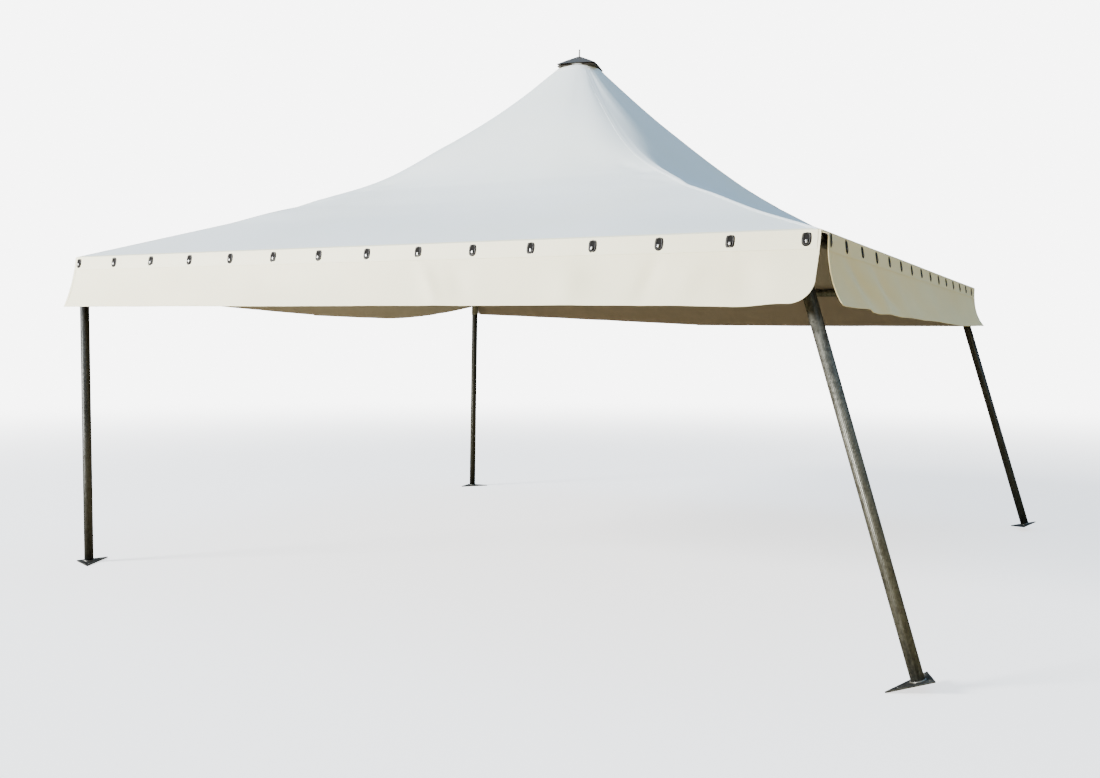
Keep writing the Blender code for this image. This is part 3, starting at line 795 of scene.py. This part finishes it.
def near_ends(pair, s, reach):
    """A value for the left and one for the right end of a side, each fading away from it."""
    return pair[0] * math.exp(-(HALF + s) / reach) + pair[1] * math.exp(-(HALF - s) / reach)


def valance_at(side, s, h):
    """A point of the cloth: s along the side from its middle, h down the cloth."""
    q = h / CUT
    late = near_ends(HOLLOWS[side], s, 0.2)
    off = near_ends(OFF_EDGE[side], s, 0.12)
    out = FLARE * q ** (1.4 + late) + near_ends(KICKS[side], s, 0.22) * q * q
    out += off * smooth_step((h - ROLL) / 0.03)
    out += (fold(side, s, h) * smooth_step((q - 0.15) / 0.5)
            * (1 - 0.5 * smooth_step((q - 0.7) / 0.3)))
    out += eyelet_creases(side, s, h)
    out = max(0.0, out)
    down = math.sqrt(h * h - out * out) if h > out else 0.0
    return about_mast((s, -HALF - TOP_OUT - out, EAVE_Z + 0.001 - down), SIDES[side])


def valance_normal(side, s, h):
    """Direction out of the cloth there."""
    step = 0.002
    along = valance_at(side, s + step, h) - valance_at(side, s - step, h)
    low = max(h, step)
    down = valance_at(side, s, low + step) - valance_at(side, s, low - step)
    return down.cross(along).normalized()


def on_valance(side, s, h, lift):
    return valance_at(side, s, h) + valance_normal(side, s, h) * lift


print("outward test", [round(a, 2) for a in valance_normal("front", 0, 0.1)])

# %% Cut and hang the four valances
VALANCE_COLUMNS, VALANCE_ROWS = 240, 30
VALANCE_CLOTH = 0.0014


def along_side(u):
    """Places along a side, closer together near its ends where the hem is cut round."""
    x = 2 * u - 1
    return HALF * (0.7 * x + 0.3 * math.sin(x * math.pi / 2))


def valance_place(side):
    def place(u, w):
        s = along_side(u)
        return valance_at(side, s, w * hem_depth(side, s))
    return place


valances = {}
for side in SIDES:
    cloth = grid_piece(f"{side}_valance_cloth", VALANCE_COLUMNS, VALANCE_ROWS,
                       valance_place(side), 2 * HALF, CUT)
    area = sheet_area(cloth)
    # Painted light in the left valance's lining, painted shade in the others.
    lining = lining_painted_light if side == "left" else lining_painted_shade
    sew(cloth, leaned((0, -1, 0), SIDES[side]), (VALANCE_CLOTHS[side][0], lining),
        VALANCE_CLOTH, 60)
    settle(cloth, "valance_fabric", f"{side}_valance")
    valances[side] = (cloth, area)
    print(side, "valance area", round(area, 3))

# %% [markdown]
# ## Eyelet bands
# The top of each valance is doubled by a strip that wraps over the edge of the roof and ends in
# a seam. The strip is swept along the side: its section starts on the roof, rolls over the edge
# and runs down the cloth.

# %% Wrap a band over each edge
BAND_DEPTH, BAND_CLOTH, BAND_GAP = 0.088, 0.0012, 0.0004
BAND_END = 0.012
ON_ROOF = 0.022                            # how far the band lies on the roof


def band_place(side):
    def place(u, w):
        s = (HALF - BAND_END) * (2 * u - 1)
        lift = BAND_GAP + BAND_CLOTH
        if w < 0.25:
            inward = ON_ROOF * (1 - w / 0.25)
            t = HALF - inward
            point = roof_point(t, s / t if abs(s) < t else math.copysign(1, s), SIDES[side])
            point.z += lift + 0.0006 * smooth_step(1 - inward / ON_ROOF)
            return about_mast(point, SIDES[side])
        if w < 0.5:
            angle = (w - 0.25) / 0.25 * math.pi / 2
            out = TOP_OUT + lift
            return about_mast((s, -HALF - out * math.sin(angle),
                               EAVE_Z + 0.0006 - ROLL * (1 - math.cos(angle)) + lift),
                              SIDES[side])
        h = ROLL + (BAND_DEPTH - ROLL) * (w - 0.5) / 0.5
        return on_valance(side, s, h, lift)
    return place


for side in SIDES:
    band = grid_piece(f"{side}_band_cloth", 200, 24, band_place(side), 2 * HALF, BAND_DEPTH)
    sew(band, leaned((0, -1, 0.5), SIDES[side]), (VALANCE_CLOTHS[side][1],), BAND_CLOTH, 50)
    settle(band, "eyelet_band", f"{side}_eyelet_band")

# %% [markdown]
# ## Hems
# The hem is folded up and welded all round the cut edge. A narrow strip follows the edge down
# one end, along the bottom and up the other end.

# %% Lay a hem strip round each cut edge
HEM_WIDTH, HEM_CLOTH, HEM_GAP = 0.020, 0.0010, 0.0002


def hem_path(side):
    """Points (s, h) of the cut edge, from the top of the left end to the top of the right."""
    points = []
    left_depth, right_depth = hem_depth(side, -HALF + 1e-6), hem_depth(side, HALF - 1e-6)
    for i in range(12):
        points.append((-HALF, BAND_DEPTH + (left_depth - BAND_DEPTH) * i / 12))
    for i in range(301):
        s = HALF * math.sin((2 * i / 300 - 1) * math.pi / 2)
        points.append((s, hem_depth(side, max(-HALF + 1e-6, min(HALF - 1e-6, s)))))
    for i in range(1, 13):
        points.append((HALF, right_depth + (BAND_DEPTH - right_depth) * i / 12))
    return points


def hem_place(side, path):
    def place(u, w):
        count = len(path) - 1
        i = min(int(u * count + 1e-6), count)
        s, h = path[i]
        before, after = path[max(i - 1, 0)], path[min(i + 1, count)]
        way = Vector((after[0] - before[0], after[1] - before[1])).normalized()
        reach = HEM_WIDTH * w
        s = max(-HALF + reach, min(HALF - reach, s + way.y * reach))
        h = min(h - way.x * reach, hem_depth(side, s) - reach)
        return on_valance(side, s, h, HEM_GAP + HEM_CLOTH)
    return place


for side in SIDES:
    path = hem_path(side)
    hem = grid_piece(f"{side}_hem", len(path) - 1, 4, hem_place(side, path), 2 * HALF, HEM_WIDTH)
    in_edit(hem, (bpy.ops.mesh.remove_doubles, {"threshold": 0.0001}))
    sew(hem, leaned((0, -1, 0), SIDES[side]), (VALANCE_CLOTHS[side][0],), HEM_CLOTH, 50)
    settle(hem, "valance_fabric")

# %% [markdown]
# ## Eyelets and turn buttons
# Each eyelet is an upright oval ring of dark plated metal pressed into the band, with a small
# button below the middle of its slot that is turned to lock the cloth. Behind the ring lies a
# near-black disc of painted shadow, which darkens the slot and outlines the ring. One of each is
# modelled, then copied along the sides.

# %% Model one eyelet
RING_RADIUS, RING_THICK, RING_STRETCH = 0.0155, 0.0030, 1.75
SHADOW_DISC_RADIUS = 0.0225


def stretch_upright(item, radius):
    """Pull the upper half of a round piece up and its lower half down, into an oval."""
    for vertex in item.data.vertices:
        pull = math.copysign((RING_STRETCH - 1) * RING_RADIUS, vertex.co.y)
        vertex.co.y += pull * min(1.0, abs(vertex.co.y) / (0.3 * radius))


ring = add_shape("eyelet_ring", bpy.ops.mesh.primitive_torus_add, major_radius=RING_RADIUS,
                 minor_radius=RING_THICK, major_segments=28, minor_segments=10)
stretch_upright(ring, RING_RADIUS)
in_edit(ring, (bpy.ops.transform.resize, {"value": (1, 1, 0.6)}),
        (bpy.ops.transform.translate, {"value": (0, 0, 0.0016)}))
shade(ring, 60)
set_materials(ring, nickel)

# Painted shadow: a near-black disc under the ring darkens its slot and draws a dark outline round
# it.
shadow_disc = add_shape("eyelet_shadow_disc", bpy.ops.mesh.primitive_circle_add, vertices=28,
                   radius=SHADOW_DISC_RADIUS, fill_type="NGON")
stretch_upright(shadow_disc, SHADOW_DISC_RADIUS)
in_edit(shadow_disc, (bpy.ops.transform.translate, {"value": (0, 0, 0.0008)}),
        (bpy.ops.mesh.extrude_region_move,
         {"TRANSFORM_OT_translate": {"value": (0, 0, -0.0007)}}),
        (bpy.ops.mesh.select_all, {"action": "SELECT"}),
        (bpy.ops.mesh.normals_make_consistent, {"inside": False}))
set_materials(shadow_disc, eyelet_painted_shadow)

# %% Model one turn button
BUTTON_SIZE = (0.011, 0.016, 0.0045)
BUTTON_LOW = 0.0115
button = add_shape("turn_button", bpy.ops.mesh.primitive_cube_add, size=1, location=(0, 0, 0))
in_edit(button, (bpy.ops.transform.resize, {"value": BUTTON_SIZE}),
        (bpy.ops.transform.translate, {"value": (0, -BUTTON_LOW, 0.0052)}),
        (bpy.ops.mesh.bevel, {"offset": 0.0021, "segments": 3, "affect": "EDGES"}))
stem = add_shape("button_stem", bpy.ops.mesh.primitive_cylinder_add, vertices=16,
                 radius=0.0042, depth=0.005, location=(0, -BUTTON_LOW, 0.0025))
apply_place(stem)
button = join([button, stem], "turn_button")
shade(button, 40)
set_materials(button, button_metal)


# %% Set eyelets along every band
def eyelet_frame(side, number):
    s = EYELET_SHIFT[side] + (number - (EYELET_COUNT - 1) / 2) * EYELET_PITCH[side]
    place = on_valance(side, s, EYELET_DOWN, BAND_GAP + BAND_CLOTH)
    out = valance_normal(side, s, EYELET_DOWN)
    along = leaned((1, 0, 0), SIDES[side])
    along = (along - out * along.dot(out)).normalized()
    upward = out.cross(along)
    turn = Matrix((along, upward, out)).transposed().to_4x4()
    return Matrix.Translation(place) @ turn


for side in SIDES:
    for master, label, slot_name in ((ring, "eyelet_rings", "spike_metal"),
                                     (shadow_disc, "eyelet_shadow_discs", "cap_metal"),
                                     (button, "turn_buttons", "spike_metal")):
        copies = []
        for number in range(EYELET_COUNT):
            matrix = eyelet_frame(side, number)
            if master is button:
                lean = math.radians((number * 37 + SIDES[side] * 11) % 31 - 15)
                matrix = matrix @ Matrix.Rotation(lean, 4, "Z")
            copies.append(copy_to(master, f"{side}_{label}_{number}", matrix))
        settle(join(copies, f"{side}_{label}"), slot_name)
for master in (ring, shadow_disc, button):
    bpy.data.objects.remove(master, do_unlink=True)

for side, (cloth, area) in valances.items():
    deepest = max(hem_depth(side, s / 10) for s in range(-24, 25))

# %% [markdown]
# ## The steel frame
# The tubes, fittings and plates keep the shape the CAD gives them. A copy of each is merged into
# one skin, so that it can be shaded smooth and have its sharp rims eased, as rolled and welded
# steel has.

# %% Dress the steel
TUBES = ("_leg", "_corner_fitting", "_eave_beam", "_hip_rafter", "crown_hub", "mast", "mast_head")
SHADED_LEGS = {"front_left_leg": zinc_painted_shade, "rear_right_leg": zinc_painted_shade,
             "rear_left_leg": zinc_painted_deep_shade}        # painted shade: these legs are coloured darker for the shade they stand in


def dressed_copy(node, material, slot, ease=0.0):
    item = nodes[node].copy()
    item.data = nodes[node].data.copy()
    item.parent = None
    item.name = f"{node}_skin"
    for key in list(item.keys()):
        del item[key]
    bpy.context.scene.collection.objects.link(item)
    in_edit(item, (bpy.ops.mesh.remove_doubles, {"threshold": 0.00002}))
    if ease:
        bevel(item, ease, 2, 50)
    shade(item, 32)
    set_materials(item, material)
    return settle(item, slot, node)


for node in sorted(nodes):
    if node.endswith("_foot_plate"):
        dressed_copy(node, plate_steel, "foot_plate_steel", 0.0015)
    elif node.endswith(TUBES):
        dressed_copy(node, SHADED_LEGS.get(node, tube_zinc), "galvanised_steel")

# %% [markdown]
# ## Cap and spike
# The cap is a square pyramid of folded sheet metal with a turned-down rim. A short thin spike
# stands on it.

# %% Fold the cap
CAP_HALF, CAP_RIM = 0.146, 0.017
CAP_LOW, CAP_TOP, SPIKE_TOP = 3.606, 3.701, 3.7543
CAP_TURN = math.radians(13.2)              # the cap sits a little turned on the mast
CAP_DROOP = 0.004                          # its corners are bent down by this
CAP_ASIDE = Vector((0.014, -0.004, 0))     # its rim sits off the middle by this
RIM_TOP = CAP_LOW + CAP_RIM - 0.036        # just above the rim, once the tent is leaned
cap = add_shape("cap_sheet", bpy.ops.mesh.primitive_cone_add, vertices=4,
                radius1=CAP_HALF * math.sqrt(2) - 0.001, radius2=0.014,
                depth=CAP_TOP - CAP_LOW - CAP_RIM,
                location=(0, 0, (CAP_TOP + CAP_LOW + CAP_RIM) / 2),
                rotation=(0, 0, QUARTER / 2 + CAP_TURN))
apply_place(cap)
for face in cap.data.polygons:
    face.select = face.normal.z < -0.9
select_only(cap)
bpy.ops.object.mode_set(mode="EDIT")
bpy.ops.mesh.select_mode(type="FACE")
bpy.ops.mesh.extrude_region_move(TRANSFORM_OT_translate={"value": (0, 0, -CAP_RIM)})
bpy.ops.mesh.inset(thickness=0.004)
bpy.ops.mesh.select_all(action="SELECT")
bpy.ops.mesh.subdivide(number_cuts=7)
bpy.ops.object.mode_set(mode="OBJECT")
unturned = Matrix.Rotation(-CAP_TURN, 3, "Z")
for vertex in cap.data.vertices:
    flat = unturned @ vertex.co
    corner = abs(flat.x * flat.y) / CAP_HALF ** 2
    vertex.co += CAP_ASIDE * (CAP_TOP - flat.z) / (CAP_TOP - CAP_LOW)
    vertex.co.z -= CAP_DROOP * corner ** 1.5
bevel(cap, 0.0022, 3, 20)
cap.data.transform(TENT)
shade(cap, 40)
set_materials(cap, cap_steel, cap_rim_painted_shade)
# Painted shade: the rim's steep faces take the near-black colour.
for face in cap.data.polygons:
    face.material_index = int(abs(face.normal.z) < 0.6 and face.center.z < RIM_TOP)
print("faces on the cap's rim:", sum(face.material_index for face in cap.data.polygons))
settle(cap, "cap_metal", "crown_cap")

# %% Turn the spike
SPIKE_LOW = CAP_TOP - 0.02
spike = add_shape("spike_rod", bpy.ops.mesh.primitive_cylinder_add, vertices=24, radius=0.006,
                  depth=SPIKE_TOP - SPIKE_LOW, location=(0, 0, (SPIKE_TOP + SPIKE_LOW) / 2))
apply_place(spike)
bevel(spike, 0.0035, 4)
spike.data.transform(TENT)
shade(spike, 40)
set_materials(spike, spike_steel)
settle(spike, "spike_metal", "finial_spike")

# %% [markdown]
# ## Collar under the cap
# A short double collar of cloth binds the top of the canopy where the cap clamps it.

# %% Wrap the collar
COLLAR_DOWN, COLLAR_CLOTH = 0.038, 0.0018


def collar_place(u, w):
    quarter, part = quarter_of(u)
    v = math.tan((2 * part - 1) * math.pi / 4)
    t = CROWN + 0.002 + COLLAR_DOWN * w
    point = roof_point(t, v, quarter)
    point.z += COLLAR_CLOTH + 0.0006
    return about_mast(point, quarter)


collar = grid_piece("crown_collar", 96, 6, collar_place, 0.7, COLLAR_DOWN)
in_edit(collar, (bpy.ops.mesh.remove_doubles, {"threshold": 0.0002}),
        (bpy.ops.mesh.normals_make_consistent, {"inside": False}))
sew(collar, UP, (seam_white,), COLLAR_CLOTH, 50)
settle(collar, "roof_fabric")

# %% [markdown]
# ## Welds
# Each leg is welded to its foot plate with a rough bead.

# %% Weld the legs to their plates
BEAD_RADIUS, BEAD_THICK, BEAD_RIPPLES = 0.0318, 0.0042, 26
RAKE = 0.325                               # how far a splayed leg moves out for each metre down


def leg_foot(corner):
    """Middle of the leg's lower end and the direction up the leg, found on the CAD leg."""
    way = leaned((-RAKE, 0, 1) if CORNERS[corner][0] > 0 else (0, 0, 1)).normalized()
    points = [vertex.co for vertex in nodes[f"{corner}_leg"].data.vertices]
    lowest = min(point.dot(way) for point in points)
    end = [point for point in points if point.dot(way) < lowest + 0.0005]
    return sum(end, Vector()) / len(end), way


for corner in CORNERS:
    middle, way = leg_foot(corner)
    bead = add_shape(f"{corner}_weld_bead", bpy.ops.mesh.primitive_torus_add,
                     major_radius=BEAD_RADIUS, minor_radius=BEAD_THICK,
                     major_segments=104, minor_segments=10)
    for vertex in bead.data.vertices:
        angle = math.atan2(vertex.co.y, vertex.co.x)
        swell = 1 + 0.05 * math.sin(BEAD_RIPPLES * angle) * (vertex.co.z > 0)
        vertex.co.z *= 0.9 * swell
    turn = way.to_track_quat("Z", "Y").to_matrix().to_4x4()
    bead.data.transform(Matrix.Translation(middle + way * 0.0015) @ turn)
    shade(bead, 60)
    set_materials(bead, weld_steel)
    settle(bead, "foot_plate_steel")
